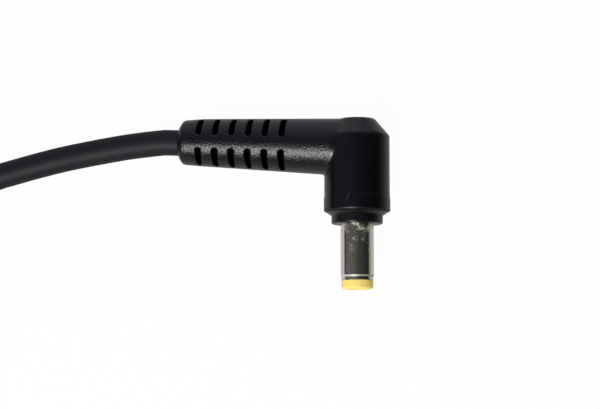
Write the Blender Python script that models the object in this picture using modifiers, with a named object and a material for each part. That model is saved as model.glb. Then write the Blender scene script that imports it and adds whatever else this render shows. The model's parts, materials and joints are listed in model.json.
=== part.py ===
"""Right-angle DC output plug of a laptop power adapter, moulded on its lead.

Metres, +Z up. The plug lies on its side: the barrel points to -Y, the handle and the lead go to -X.
The plug's pieces are modelled upright, barrel down, in the frame of one empty that lays them down.
"""

import math

import bmesh
import bpy
import numpy as np
from mathutils import Matrix, Vector

MM = 0.001
GAP = 0.3 * MM  # between moulded pieces and what they hold
FINE_GAP = 0.12 * MM  # between the small metal pieces
STEPS = 48  # facets round a turned piece

# Overmould: the round body, seen along its axis from the outer end face down to the lip
BODY_RADIUS = 5.44 * MM
BODY_LENGTH = 15.48 * MM
END_FACE_RADIUS = 3.05 * MM
END_CHAMFER_LENGTH = 2.85 * MM
LIP_SWELL = 0.08 * MM
LIP_LENGTH = 2.4 * MM
LIP_ROUNDING = 0.25 * MM

# Overmould: the tapered handle, which is also the strain relief
HANDLE_REACH = 30.3 * MM  # from the plug's axis to the cable end
HANDLE_ROOT_RADIUS = 4.87 * MM  # at the plug's axis
HANDLE_TIP_RADIUS = 3.87 * MM
HANDLE_ABOVE_END_FACE = 0.13 * MM  # the handle's top, at the plug's axis
HANDLE_TILT = math.radians(3.2)  # its axis rises towards the cable end
HANDLE_END_CHAMFER = 0.95 * MM
HANDLE_END_WALL = 0.12 * MM  # rim left round the lead

# Slots of the strain relief: two on each face in every ring, open towards the face
SLOT_RINGS = 6
SLOT_PITCH = 2.84 * MM
SLOT_FIRST = 4.0 * MM  # from the cable end
SLOT_WIDTH = 0.95 * MM
SLOT_RIB = 2.12 * MM  # along the middle of each face
SLOT_RIB_OFFSET = -0.25 * MM
SLOT_UPPER_MARGIN = 0.42 * MM
SLOT_LOWER_MARGIN = 0.1 * MM
SLOT_FLOOR_WALL = 0.35 * MM  # left over the lead's channel
SLOT_WEB = 1.0 * MM  # left at the parting plane

# Inner mould: stem, collar and the arm that grips the lead
COLLAR_RADIUS = 4.25 * MM
COLLAR_LENGTH = 1.75 * MM
COLLAR_CHAMFER = 0.45 * MM
STEM_RADIUS = 3.7 * MM
STEM_TOP = 2.0 * MM  # below the outer end face
ARM_RADIUS = 3.3 * MM
ARM_WALL = 0.5 * MM  # overmould left between the arm's end and the nearest slot
CHAMBER_RADIUS = 2.55 * MM
CHAMBER_TOP = 3.1 * MM
CHAMBER_FLOOR = 8.6 * MM

# Barrel plug: 5.5 mm outside, 1.7 mm bore
BARREL_RADIUS = 2.75 * MM
BARREL_WALL = 0.3 * MM
BARREL_EXPOSED = 9.27 * MM
BARREL_SEATED = 6.53 * MM
BARREL_EDGE = 0.14 * MM
TIP_RADIUS = 2.64 * MM
TIP_LENGTH = 1.3 * MM
TIP_ROUNDING = 0.4 * MM
TIP_BORE_RADIUS = 0.98 * MM
SLEEVE_WALL = 0.6 * MM
PIN_BORE_RADIUS = 0.85 * MM
CONTACT_WALL = 0.22 * MM
CONTACT_SLOT_WIDTH = 0.3 * MM
CONTACT_SLOT_LENGTH = 6.0 * MM
CONTACT_TAIL_RADIUS = 0.5 * MM

# Terminals, washer and solder behind the barrel
WASHER_THICKNESS = 0.7 * MM
TERMINAL_THICKNESS = 0.35 * MM
TAB_WIDTH = 1.5 * MM
CENTRE_TAB_HEIGHT = 2.3 * MM
BARREL_TAB_HEIGHT = 3.2 * MM
SOLDER_RADIUS = 0.55 * MM

# Lead: one insulated core inside a spiral screen and a black jacket
LEAD_DIAMETER = 4.4 * MM
CORE_DIAMETER = 1.8 * MM
CONDUCTOR_DIAMETER = 1.0 * MM
PIGTAIL_DIAMETER = 1.1 * MM
PIGTAIL_SLEEVE_DIAMETER = 1.6 * MM
JACKET_INSIDE = 22.5 * MM  # jacket held inside the handle

# The lead's route over the table, from the handle to the hank, as seen in the photograph
TABLE_GAP = 0.03 * MM
LEAD_POINT_SPACING = 2 * LEAD_DIAMETER
LEAD_ROUTE = [
    (-26.1, 10.22, 2.9),
    (-30.4, 9.67, 2.35),
    (-34.6, 8.97, 2.23),
    (-38.7, 8.17, 2.23),
    (-42.9, 7.17, 2.23),
    (-46.6, 6.2, 2.23),
    (-50.3, 5.15, 2.23),
    (-53.9, 3.55, 2.23),
    (-56.4, 1.8, 2.23),
]

# The stripped far end
END_SLEEVE_DIAMETER = 4.6 * MM
END_SLEEVE_LENGTH = 9.0 * MM
END_WIRE_LENGTH = 15.0 * MM
END_TINNED_LENGTH = 5.0 * MM
END_WIRE_SPREAD = 1.15 * MM

# The hank: loops in layers that spiral in and out, drawn in at the waist by a strap
HANK_RUN = 41.0 * MM  # between the centres of its two folds
HANK_FOLD_RADIUS = 3.02 * LEAD_DIAMETER  # of the innermost fold
HANK_CLEARANCE = 0.58 * MM  # between loops that lie beside or on each other
HANK_WAIST_WIDENING = 0.2 * MM  # added to the step between loops at the waist
HANK_WAIST_IN = 2.0 * MM  # how far the strap draws the innermost runs in
HANK_TURNS_PER_LAYER = 2
HANK_CLIMBS = 3  # one fewer than its layers
HANK_POINTS_PER_TURN = 24
HANK_FOLD_CENTRE = (-79.0 * MM, 7.0 * MM)  # of the fold nearest the plug
HANK_JOIN = math.radians(-38)  # where the lead runs onto the outer fold
HANK_LAST_TURN = 5.425  # in turns from the first reversal; the lead runs straight on to its cut end
STRAP_WIDTH = 6.0 * MM
STRAP_THICKNESS = 0.8 * MM
STRAP_ROUNDING = 3.0 * MM

# What follows from the sizes above, in the upright plug's frame: heights fall from the end face at 0
LIP_RADIUS = BODY_RADIUS + LIP_SWELL
LEAD_RADIUS = LEAD_DIAMETER / 2
CHANNEL_RADIUS = LEAD_RADIUS + GAP
COLLAR_END = BODY_LENGTH + GAP + COLLAR_LENGTH
BARREL_TOP = COLLAR_END - BARREL_SEATED
BARREL_END = COLLAR_END + BARREL_EXPOSED
TIP_TOP = BARREL_END + GAP
PLUG_LENGTH = TIP_TOP + TIP_LENGTH
BARREL_INSIDE = BARREL_RADIUS - BARREL_WALL
SLEEVE_RADIUS = BARREL_INSIDE - GAP
CONTACT_RADIUS = PIN_BORE_RADIUS + CONTACT_WALL
SLEEVE_BORE = SLEEVE_RADIUS - SLEEVE_WALL
BARREL_TAB_Y = CHAMBER_RADIUS - GAP - TERMINAL_THICKNESS
CENTRE_TAB_TOP = 3 * GAP + TERMINAL_THICKNESS + WASHER_THICKNESS + CENTRE_TAB_HEIGHT - BARREL_TOP
HANDLE_TAPER = (HANDLE_ROOT_RADIUS - HANDLE_TIP_RADIUS) / HANDLE_REACH
HANDLE_SHOULDER = HANDLE_REACH - HANDLE_END_CHAMFER
HANDLE_SHOULDER_RADIUS = HANDLE_ROOT_RADIUS - HANDLE_TAPER * HANDLE_SHOULDER
HANDLE_ROOT_DROP = HANDLE_ROOT_RADIUS - HANDLE_ABOVE_END_FACE
HANDLE_RISE = HANDLE_SHOULDER * math.sin(HANDLE_TILT) + HANDLE_SHOULDER_RADIUS - HANDLE_ROOT_DROP
SLOT_LAST = HANDLE_REACH - SLOT_FIRST - (SLOT_RINGS - 1) * SLOT_PITCH
ARM_REACH = SLOT_LAST - SLOT_WIDTH / 2 - ARM_WALL - GAP
LEAN = math.asin((LIP_RADIUS - HANDLE_SHOULDER_RADIUS) / HANDLE_SHOULDER)  # the handle's end touches down
HANDLE_RIM = CHANNEL_RADIUS + HANDLE_END_WALL
HANDLE_SPAN = HANDLE_REACH * math.cos(HANDLE_TILT) + HANDLE_RIM * math.sin(HANDLE_TILT)
AXIS_X = (HANDLE_SPAN * math.cos(LEAN) - LIP_RADIUS) / 2
AXIS_Y = (PLUG_LENGTH - max(0, HANDLE_RISE)) / 2
HANK_PITCH = LEAD_DIAMETER + HANK_CLEARANCE
HANK_MEAN_TURN = 2 * HANK_RUN + math.tau * (HANK_FOLD_RADIUS + (HANK_TURNS_PER_LAYER / 2 - 0.25) * HANK_PITCH)
HANK_RUN_SHARE = HANK_RUN / HANK_MEAN_TURN  # of a turn, for each of its two runs

parts = bpy.data.collections.new("laptop_adapter_dc_plug")
cutters = bpy.data.collections.new("cutters")


def material(name, colour, roughness, metallic=0.0):
    made = bpy.data.materials.new(name)
    made.use_nodes = True
    shader = made.node_tree.nodes["Principled BSDF"]
    shader.inputs["Base Color"].default_value = (*colour, 1.0)
    shader.inputs["Roughness"].default_value = roughness
    shader.inputs["Metallic"].default_value = metallic
    return made


def place(name, data, parent=None, finish=None):
    """A new object: a part when it has a finish, otherwise a cutter."""
    made = bpy.data.objects.new(name, data)
    made.parent = parent
    if finish:
        data.materials.append(finish)
        parts.objects.link(made)
    else:
        made.hide_render = True
        made.display_type = "WIRE"
        cutters.objects.link(made)
    return made


def turned(name, profile, parent, finish=None, steps=STEPS, closed=False):
    """A profile of (radius, height) points, from top to bottom on its outer side, turned round Z."""
    mesh = bpy.data.meshes.new(name)
    count = len(profile)
    edges = [(i, (i + 1) % count) for i in range(count if closed else count - 1)]
    mesh.from_pydata([(radius, 0, height) for radius, height in profile], edges, [])
    made = place(name, mesh, parent, finish)
    screw = made.modifiers.new("turn", "SCREW")
    screw.steps = screw.render_steps = steps
    screw.use_merge_vertices = True
    screw.merge_threshold = 0.01 * MM
    screw.use_smooth_shade = True
    return made


def arc(centre, radius, start, end, points):
    """Points of an arc of (radius, height) pairs, with its angles in degrees."""
    angles = [math.radians(start + (end - start) * i / (points - 1)) for i in range(points)]
    return [(centre[0] + radius * math.cos(a), centre[1] + radius * math.sin(a)) for a in angles]


def rod(name, radius, top, bottom, parent, finish=None, steps=STEPS):
    return turned(name, [(0, top), (radius, top), (radius, bottom), (0, bottom)], parent, finish, steps)


def tube(name, outside, inside, top, bottom, parent, finish, steps=STEPS):
    profile = [(inside, top), (outside, top), (outside, bottom), (inside, bottom)]
    return turned(name, profile, parent, finish, steps, closed=True)


def block(name, size, centre, parent, finish=None):
    """A box of the given size."""
    mesh = bpy.data.meshes.new(name)
    form = bmesh.new()
    bmesh.ops.create_cube(form, size=1.0)
    bmesh.ops.scale(form, vec=size, verts=form.verts)
    bmesh.ops.translate(form, vec=centre, verts=form.verts)
    form.to_mesh(mesh)
    form.free()
    return place(name, mesh, parent, finish)


def combine(target, operation, *others):
    """Boolean modifiers that join others to the target, or cut them from it."""
    for other in others:
        modifier = target.modifiers.new(other.name, "BOOLEAN")
        modifier.operation = operation
        modifier.object = other


def solid_curve(name, curve, parent, finish):
    """The curve as a welded mesh object, so that it can be cut."""
    guide = bpy.data.objects.new(name + "_guide", curve)
    bpy.context.scene.collection.objects.link(guide)
    graph = bpy.context.evaluated_depsgraph_get()
    mesh = bpy.data.meshes.new_from_object(guide.evaluated_get(graph))
    mesh.name = name
    form = bmesh.new()
    form.from_mesh(mesh)
    bmesh.ops.remove_doubles(form, verts=form.verts, dist=0.001 * MM)
    form.to_mesh(mesh)
    form.free()
    mesh.materials.clear()
    bpy.data.objects.remove(guide)
    return place(name, mesh, parent, finish)


def wire(name, points, diameter, parent, finish, resolution=2):
    """A round wire, tube or cord along the points, with filled ends."""
    curve = bpy.data.curves.new(name, "CURVE")
    curve.dimensions = "3D"
    curve.bevel_depth = diameter / 2
    curve.bevel_resolution = resolution
    curve.use_fill_caps = True
    line = curve.splines.new("POLY")
    line.points.add(len(points) - 1)
    for point, at in zip(line.points, points, strict=True):
        point.co = (*at, 1.0)
    return place(name, curve, parent, finish)


def smooth_route(route, spacing):
    """Points about one spacing apart on a smooth curve through the route's points, after its straight first
    step and before its straight last one."""
    curve = []
    for before, start, end, after in zip(route, route[1:], route[2:], route[3:]):
        for s in np.linspace(0, 1, 16, endpoint=False):
            bend = (end - before) * s + (2 * before - 5 * start + 4 * end - after) * s**2
            curve.append(start + 0.5 * (bend + (3 * start - before - 3 * end + after) * s**3))
    curve.append(route[-2])
    along = np.cumsum([0] + [(b - a).length for a, b in zip(curve, curve[1:])])
    stops = np.linspace(0, along[-1], 1 + round(along[-1] / spacing))
    x, y, z = (np.interp(stops, along, axis) for axis in zip(*curve))
    return [route[0], *(Vector(p) for p in zip(x, y, z)), route[-1]]


def length_of(points):
    return sum((b - a).length for a, b in zip(points, points[1:]))


# Finishes


def make_finishes():
    return {
        "overmould": material("black_soft_pvc", (0.008, 0.008, 0.01), 0.4),
        "collar": material("black_hard_plastic", (0.007, 0.007, 0.008), 0.28),
        "nickel": material("worn_nickel", (0.62, 0.58, 0.54), 0.22, 1.0),
        "yellow": material("yellow_plastic", (0.93, 0.62, 0.14), 0.4),
        "brass": material("bright_brass", (0.78, 0.6, 0.28), 0.25, 1.0),
        "fibre": material("grey_washer", (0.35, 0.34, 0.32), 0.6),
        "solder": material("solder", (0.6, 0.6, 0.6), 0.35, 1.0),
        "copper": material("bare_copper", (0.78, 0.4, 0.24), 0.3, 1.0),
        "tinned": material("tinned_copper", (0.66, 0.65, 0.62), 0.32, 1.0),
        "white": material("white_core_insulation", (0.78, 0.77, 0.74), 0.5),
        "sleeve": material("black_shrink_sleeve", (0.015, 0.015, 0.016), 0.42),
        "jacket": material("black_lead_jacket", (0.014, 0.0145, 0.019), 0.5),
        "strap": material("black_strap", (0.02, 0.02, 0.02), 0.85),
    }


# The plug, upright


def body_profile():
    lip_corner = (LIP_RADIUS - LIP_ROUNDING, -BODY_LENGTH + LIP_ROUNDING)
    lip_start = -BODY_LENGTH + LIP_LENGTH
    return [
        (0, 0),
        (END_FACE_RADIUS, 0),
        (BODY_RADIUS, -END_CHAMFER_LENGTH),
        (BODY_RADIUS, lip_start + LIP_SWELL),
        (LIP_RADIUS, lip_start - LIP_SWELL),
        *arc(lip_corner, LIP_ROUNDING, 0, -90, 5),
        (0, -BODY_LENGTH),
    ]


def handle_frame(plug):
    """An empty on the handle's axis: its +Z runs from the plug's axis out to the cable end."""
    frame = bpy.data.objects.new("handle_frame", None)
    frame.parent = plug
    frame.location = (0, 0, -HANDLE_ROOT_DROP)
    frame.rotation_euler = (0, -math.pi / 2 + HANDLE_TILT, 0)
    cutters.objects.link(frame)
    return frame


def handle_profile():
    soften = HANDLE_END_CHAMFER / 4
    return [
        (0, HANDLE_REACH),
        (HANDLE_RIM, HANDLE_REACH),
        (HANDLE_SHOULDER_RADIUS - soften, HANDLE_SHOULDER + soften),
        (HANDLE_SHOULDER_RADIUS, HANDLE_SHOULDER - soften),
        (HANDLE_ROOT_RADIUS, 0),
        (0, 0),
    ]


def slot_outline(low, high):
    """A slot's outline across the handle, with round ends, as (along, across) points."""
    half = SLOT_WIDTH / 2
    top = arc((0, high - half), half, 0, 180, 7)
    bottom = arc((0, low + half), half, 180, 360, 7)
    return top + bottom


def slot_cutter(handle):
    """Every slot as a prism right through the handle, less the core and the web that the slots leave."""
    curve = bpy.data.curves.new("slots", "CURVE")
    curve.dimensions = "2D"
    curve.fill_mode = "BOTH"
    curve.extrude = 2 * HANDLE_ROOT_RADIUS
    rib_top = SLOT_RIB_OFFSET + SLOT_RIB / 2
    rib_bottom = SLOT_RIB_OFFSET - SLOT_RIB / 2
    for ring in range(SLOT_RINGS):
        along = HANDLE_REACH - SLOT_FIRST - ring * SLOT_PITCH
        radius = HANDLE_ROOT_RADIUS - HANDLE_TAPER * along
        for low, high in ((rib_top, radius - SLOT_UPPER_MARGIN), (SLOT_LOWER_MARGIN - radius, rib_bottom)):
            outline = slot_outline(low, high)
            line = curve.splines.new("POLY")
            line.use_cyclic_u = True
            line.points.add(len(outline) - 1)
            for point, (x, y) in zip(line.points, outline, strict=True):
                point.co = (x + along, y, 0, 1)
    cutter = solid_curve("slots", curve, handle, None)
    # The outline is drawn along X and across Y; the handle runs along Z with its top towards +X.
    cutter.rotation_euler = Matrix(((0, 1, 0), (0, 0, 1), (1, 0, 0))).to_euler()
    core = rod("slot_core", CHANNEL_RADIUS + SLOT_FLOOR_WALL, 2 * HANDLE_REACH, -HANDLE_REACH, handle)
    web_size = (4 * HANDLE_ROOT_RADIUS, SLOT_WEB, 4 * HANDLE_REACH)
    web = block("slot_web", web_size, (0, 0, 0), handle)
    combine(cutter, "DIFFERENCE", core, web)
    return cutter


def lead_space_profile():
    """The space inside the handle: the inner mould's arm, then the lead's channel out at the cable end."""
    return [
        (0, 2 * HANDLE_REACH),
        (CHANNEL_RADIUS, 2 * HANDLE_REACH),
        (CHANNEL_RADIUS, ARM_REACH + GAP),
        (ARM_RADIUS + GAP, ARM_REACH + GAP),
        (ARM_RADIUS + GAP, 0),
        (0, 0),
    ]


def make_overmould(plug, handle, finish):
    overmould = turned("overmould", body_profile(), plug, finish)
    grip = turned("handle_form", handle_profile(), handle)
    stem_space = rod("stem_space", STEM_RADIUS + GAP, GAP - STEM_TOP, -2 * BODY_LENGTH, plug)
    lead_space = turned("lead_space", lead_space_profile(), handle)
    combine(overmould, "UNION", grip)
    combine(overmould, "DIFFERENCE", slot_cutter(handle), stem_space, lead_space)


def make_inner_mould(plug, handle, finish):
    collar_top = -BODY_LENGTH - GAP
    profile = [
        (0, -STEM_TOP),
        (STEM_RADIUS, -STEM_TOP),
        (STEM_RADIUS, collar_top),
        (COLLAR_RADIUS, collar_top),
        (COLLAR_RADIUS, COLLAR_CHAMFER - COLLAR_END),
        (COLLAR_RADIUS - COLLAR_CHAMFER, -COLLAR_END),
        (0, -COLLAR_END),
    ]
    mould = turned("inner_mould", profile, plug, finish)
    arm = rod("arm_form", ARM_RADIUS, ARM_REACH, 0, handle)
    barrel_space = rod("barrel_space", BARREL_RADIUS + GAP, -CHAMBER_FLOOR, -2 * COLLAR_END, plug)
    chamber = rod("chamber", CHAMBER_RADIUS, -CHAMBER_TOP, -CHAMBER_FLOOR - GAP, plug)
    grip = rod("arm_bore", CHANNEL_RADIUS, 2 * ARM_REACH, 0, handle)
    combine(mould, "UNION", arm)
    combine(mould, "DIFFERENCE", barrel_space, chamber, grip)


def make_barrel(plug, finish):
    edge = (BARREL_RADIUS - BARREL_EDGE, BARREL_EDGE - BARREL_END)
    profile = [
        (BARREL_INSIDE, -BARREL_TOP),
        (BARREL_RADIUS, -BARREL_TOP),
        *arc(edge, BARREL_EDGE, 0, -90, 4),
        (BARREL_INSIDE, -BARREL_END),
    ]
    turned("outer_barrel", profile, plug, finish, closed=True)


def make_tip(plug, finish):
    corner = (TIP_RADIUS - TIP_ROUNDING, TIP_ROUNDING - PLUG_LENGTH)
    profile = [
        (SLEEVE_BORE, -BARREL_TOP - GAP),
        (SLEEVE_RADIUS, -BARREL_TOP - GAP),
        (SLEEVE_RADIUS, -TIP_TOP),
        (TIP_RADIUS, -TIP_TOP),
        *arc(corner, TIP_ROUNDING, 0, -90, 5),
        (TIP_BORE_RADIUS, -PLUG_LENGTH),
        (TIP_BORE_RADIUS, GAP - TIP_TOP),
        (SLEEVE_BORE, GAP - TIP_TOP),
    ]
    turned("tip_insulator", profile, plug, finish, closed=True)


def make_contact(plug, finish):
    """The tubular centre contact, split so that its mouth springs on the socket's pin, and its tail."""
    top = -BARREL_TOP - GAP
    mouth = 2 * GAP - TIP_TOP
    tail_top = 2 * GAP + WASHER_THICKNESS + TERMINAL_THICKNESS - BARREL_TOP
    profile = [
        (0, tail_top),
        (CONTACT_TAIL_RADIUS, tail_top),
        (CONTACT_TAIL_RADIUS, top),
        (CONTACT_RADIUS, top),
        (CONTACT_RADIUS, mouth),
        (PIN_BORE_RADIUS, mouth),
        (PIN_BORE_RADIUS, top - CONTACT_TAIL_RADIUS),
        (0, top - CONTACT_TAIL_RADIUS),
    ]
    contact = turned("centre_contact", profile, plug, finish, steps=24)
    size = (4 * CONTACT_RADIUS, CONTACT_SLOT_WIDTH, 2 * CONTACT_SLOT_LENGTH)
    slot = block("contact_slot", size, (0, 0, mouth), plug)
    combine(contact, "DIFFERENCE", slot)


def make_terminals(plug, finishes):
    """The barrel's ring terminal with its tab, the washer over it and the centre contact's terminal."""
    hole = CONTACT_TAIL_RADIUS + GAP
    ring_low = GAP - BARREL_TOP
    ring_high = ring_low + TERMINAL_THICKNESS
    ring = tube("barrel_terminal", CHAMBER_RADIUS - GAP, hole, ring_high, ring_low, plug, finishes["nickel"], 32)
    tab_size = (TAB_WIDTH, TERMINAL_THICKNESS, BARREL_TAB_HEIGHT)
    tab = block("barrel_tab", tab_size, (0, BARREL_TAB_Y, ring_low + BARREL_TAB_HEIGHT / 2), plug)
    combine(ring, "UNION", tab)
    washer_low = ring_high + GAP
    washer_high = washer_low + WASHER_THICKNESS
    reach = BARREL_TAB_Y - TERMINAL_THICKNESS / 2 - GAP
    tube("insulating_washer", reach, hole, washer_high, washer_low, plug, finishes["fibre"], 32)
    centre_size = (TAB_WIDTH, TERMINAL_THICKNESS, CENTRE_TAB_HEIGHT)
    centre_middle = (0, 0, CENTRE_TAB_TOP - CENTRE_TAB_HEIGHT / 2)
    block("centre_terminal", centre_size, centre_middle, plug, finishes["brass"])


def solder(name, centre, plug, finish):
    """A small round joint of solder."""
    mesh = bpy.data.meshes.new(name)
    form = bmesh.new()
    bmesh.ops.create_uvsphere(form, u_segments=12, v_segments=8, radius=SOLDER_RADIUS)
    bmesh.ops.translate(form, vec=centre, verts=form.verts)
    form.to_mesh(mesh)
    form.free()
    place(name, mesh, plug, finish)


def make_wiring(plug, handle, finishes):
    """The jacket's end in the handle, the core stripped to its terminal and the screen's pigtail to the other."""
    jacket_end = HANDLE_REACH - JACKET_INSIDE
    rod("lead_jacket_end", LEAD_RADIUS, HANDLE_REACH, jacket_end, handle, finishes["jacket"], 24)
    start = GAP - jacket_end
    axis = -HANDLE_ROOT_DROP + jacket_end * math.sin(HANDLE_TILT)
    high = axis + (LEAD_RADIUS - CORE_DIAMETER / 2) / 2
    low = axis - (LEAD_RADIUS - PIGTAIL_SLEEVE_DIAMETER / 2) / 2 - GAP
    core_end = Vector((0.42 * start, -GAP, high - GAP))
    core = [(start, 0, high), (0.7 * start, 0, high), core_end]
    wire("core_insulation", core, CORE_DIAMETER, plug, finishes["white"])
    beside = TAB_WIDTH / 2 + FINE_GAP + CONDUCTOR_DIAMETER / 2
    copper_start = core_end + Vector((GAP, 0, 0))
    copper_end = Vector((-beside, -GAP, CENTRE_TAB_TOP - SOLDER_RADIUS))
    bend = Vector((-beside - FINE_GAP, -GAP, (copper_start.z + copper_end.z) / 2))
    copper = [copper_start, copper_start.lerp(bend, 0.4) + Vector((0, 0, FINE_GAP)), bend, copper_end]
    wire("core_conductor", copper, CONDUCTOR_DIAMETER, plug, finishes["copper"])
    below = Vector((0, 0, -CONDUCTOR_DIAMETER / 2 - FINE_GAP - SOLDER_RADIUS))
    solder("centre_solder", copper_end + below, plug, finishes["solder"])
    sleeve_end = Vector((0.36 * start, 1.1 * MM, low))
    sleeve = [(start, 0, low), (0.7 * start, 0.5 * MM, low), sleeve_end]
    wire("pigtail_sleeve", sleeve, PIGTAIL_SLEEVE_DIAMETER, plug, finishes["sleeve"])
    near_tab = BARREL_TAB_Y - TERMINAL_THICKNESS / 2 - FINE_GAP - PIGTAIL_DIAMETER / 2
    tail_end = Vector((0, near_tab, GAP - BARREL_TOP + BARREL_TAB_HEIGHT))
    tail_start = sleeve_end + Vector((GAP, 0, 0))
    tail = [tail_start, tail_start.lerp(tail_end, 0.5) + Vector((0, 0, FINE_GAP)), tail_end]
    wire("screen_pigtail", tail, PIGTAIL_DIAMETER, plug, finishes["tinned"])
    below = Vector((0, 0, -PIGTAIL_DIAMETER / 2 - FINE_GAP - SOLDER_RADIUS))
    solder("barrel_solder", tail_end + below, plug, finishes["solder"])


# The lead


def ease(share):
    """Rises smoothly from 0 to 1 as the share does."""
    return (1 - math.cos(math.pi * min(max(share, 0), 1))) / 2


def drawn_in(x):
    """1 under the strap, falling to 0 where a fold begins; x is measured from the waist."""
    return ease((HANK_RUN / 2 - abs(x)) / (HANK_RUN / 2 - STRAP_WIDTH / 2))


def loop_half_width(x, offset):
    """How far a run lies from the hank's middle line; offset counts loops outwards from the innermost."""
    step_in = HANK_WAIST_IN - HANK_WAIST_WIDENING * offset
    return HANK_FOLD_RADIUS + (offset - 0.25) * HANK_PITCH - step_in * drawn_in(x)


def hank_point(turn):
    """The lead's centre line in the hank. Turn 0 is the first reversal, at the waist on the +Y side.

    The loops go clockwise. They spiral in to each even reversal and out to each odd one, and climb
    a layer in the half turn round every reversal, along the run.
    """
    period = 2 * HANK_TURNS_PER_LAYER
    offset = abs((turn + HANK_TURNS_PER_LAYER) % period - HANK_TURNS_PER_LAYER)
    climbs = [ease(2 * (turn - i * HANK_TURNS_PER_LAYER) + 0.5) for i in range(HANK_CLIMBS)]
    into = (turn + HANK_RUN_SHARE / 2) % 1.0
    side = 1 if into < 0.5 else -1
    into = into % 0.5
    if into < HANK_RUN_SHARE:
        x = side * (into / HANK_RUN_SHARE - 0.5) * HANK_RUN
        y = side * loop_half_width(x, offset)
    else:
        angle = math.pi / 2 - math.pi * (into - HANK_RUN_SHARE) / (0.5 - HANK_RUN_SHARE)
        radius = loop_half_width(HANK_RUN / 2, offset)
        x = side * (HANK_RUN / 2 + radius * math.cos(angle))
        y = side * radius * math.sin(angle)
    lift = (STRAP_THICKNESS + GAP) * drawn_in(x)
    z = LEAD_RADIUS + TABLE_GAP + lift + HANK_PITCH * sum(climbs)
    return Vector((HANK_FOLD_CENTRE[0] - HANK_RUN / 2 + x, HANK_FOLD_CENTRE[1] + y, z))


def hank_route():
    """The hank's centre line, with a straight diameter of lead at each end."""
    onto_fold = (math.pi / 2 - HANK_JOIN) / math.pi
    first = -HANK_TURNS_PER_LAYER + HANK_RUN_SHARE / 2 + onto_fold * (0.5 - HANK_RUN_SHARE)
    count = round((HANK_LAST_TURN - first) * HANK_POINTS_PER_TURN)
    points = [hank_point(first + (HANK_LAST_TURN - first) * i / count) for i in range(count + 1)]
    into = (hank_point(first + 0.001) - points[0]).normalized()
    out = (hank_point(HANK_LAST_TURN + 0.001) - points[-1]).normalized()
    return [points[0] - into * LEAD_DIAMETER, *points, points[-1] + out * LEAD_DIAMETER]


def least_gap(points, diameter):
    """The least space between stretches of the lead that aren't neighbours along it."""
    fine = [a.lerp(b, i / 6) for a, b in zip(points, points[1:]) for i in range(6)]
    places = np.array([tuple(p) for p in fine])
    along = np.concatenate([[0], np.cumsum(np.linalg.norm(np.diff(places, axis=0), axis=1))])
    apart = np.linalg.norm(places[:, None] - places[None], axis=2)
    apart[np.abs(along[:, None] - along[None]) < 4 * diameter] = np.inf
    return float(apart.min()) - diameter


def make_lead(handle, finishes):
    """The free stretch on the table and the hank of the rest."""
    bpy.context.view_layer.update()
    out = handle.matrix_world.to_3x3() @ Vector((0, 0, 1))
    mouth = handle.matrix_world @ Vector((0, 0, HANDLE_REACH + GAP))
    loops = hank_route()
    tangent = (loops[1] - loops[0]).normalized()
    last = loops[0] - tangent * GAP
    route = [mouth, mouth + out * LEAD_RADIUS]
    route += [Vector(p) * MM for p in LEAD_ROUTE]
    route += [last - tangent * LEAD_DIAMETER / 2, last]
    stretch = smooth_route(route, LEAD_POINT_SPACING)
    wire("dc_lead", stretch, LEAD_DIAMETER, None, finishes["jacket"], resolution=3)
    wire("dc_lead_hank", loops, LEAD_DIAMETER, None, finishes["jacket"], resolution=1)
    gap = least_gap(loops, LEAD_DIAMETER)
    whole = length_of(stretch) + length_of(loops)
    print(f"Lead {whole:.3f} m long; least gap in the hank {gap / MM:.2f} mm")


def end_point(distance, aside=0.0, up=0.0):
    """A point past the lead's cut end, along the loop that it would have gone on with."""
    ahead = hank_point(HANK_LAST_TURN + (LEAD_DIAMETER + distance) / HANK_MEAN_TURN)
    return ahead + Vector((0, aside, up))


def make_far_end(finishes):
    """The stripped end: a shrink sleeve, then the two wires with tinned tips, lying on the loop below."""
    start = GAP
    stop = start + END_SLEEVE_LENGTH
    sleeve = [end_point(start + (stop - start) * i / 3) for i in range(4)]
    wire("end_sleeve", sleeve, END_SLEEVE_DIAMETER, None, finishes["sleeve"])
    down = GAP + CORE_DIAMETER / 2 - HANK_CLEARANCE - LEAD_RADIUS
    for name, side, finish in (("positive", 1, "white"), ("negative", -1, "sleeve")):
        aside = side * END_WIRE_SPREAD
        start = stop + GAP
        end = start + END_WIRE_LENGTH
        covered = [end_point(start + (end - start) * i / 5, aside, down) for i in range(6)]
        wire(name + "_wire", covered, CORE_DIAMETER, None, finishes[finish])
        start = end + GAP
        end = start + END_TINNED_LENGTH
        bare = [end_point(start + (end - start) * i / 2, aside, down) for i in range(3)]
        wire(name + "_tinned_tip", bare, CONDUCTOR_DIAMETER, None, finishes["tinned"])


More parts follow.
